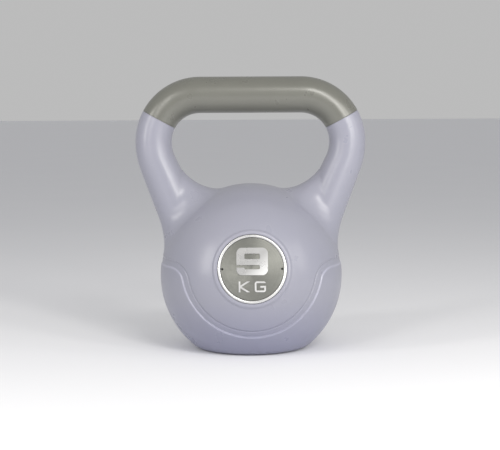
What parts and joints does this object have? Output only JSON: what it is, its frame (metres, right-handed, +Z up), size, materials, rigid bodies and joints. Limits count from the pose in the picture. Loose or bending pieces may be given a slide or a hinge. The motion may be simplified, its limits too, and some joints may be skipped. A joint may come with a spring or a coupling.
{
  "type": "kettlebell",
  "caption": "Kettlebell with a cement-filled plastic body, a raised lower jacket, a soft grip sleeve on a bar handle and a round mass badge on each face.",
  "frame": {"origin": "on the table, at the middle of the flat base", "axes": "+Z up through the handle, X along the grip bar, -Y towards the front badge"},
  "size_m": [0.242, 0.1868, 0.286],
  "materials": {
    "skin_plastic": "satin",
    "grip_rubber": "satin",
    "cement": "matte",
    "rod_steel": "satin",
    "cap_plastic": "satin",
    "tape_foam": "matte",
    "plate_grey": "satin",
    "ring_bright": "polished",
    "mark_silver": "satin"
  },
  "bodies": {
    "root": {"shell": "skin_plastic", "grip_sleeve": "grip_rubber", "cement_fill": "cement", "handle_rod": "rod_steel", "fill_cap": "cap_plastic", "front_badge_tape": "tape_foam", "front_badge_plate": "plate_grey", "front_badge_ring": "ring_bright", "front_numeral": "mark_silver", "front_letter_k": "mark_silver", "front_letter_g": "mark_silver", "rear_badge_tape": "tape_foam", "rear_badge_plate": "plate_grey", "rear_badge_ring": "ring_bright", "rear_numeral": "mark_silver", "rear_letter_k": "mark_silver", "rear_letter_g": "mark_silver"}
  },
  "joints": []
}
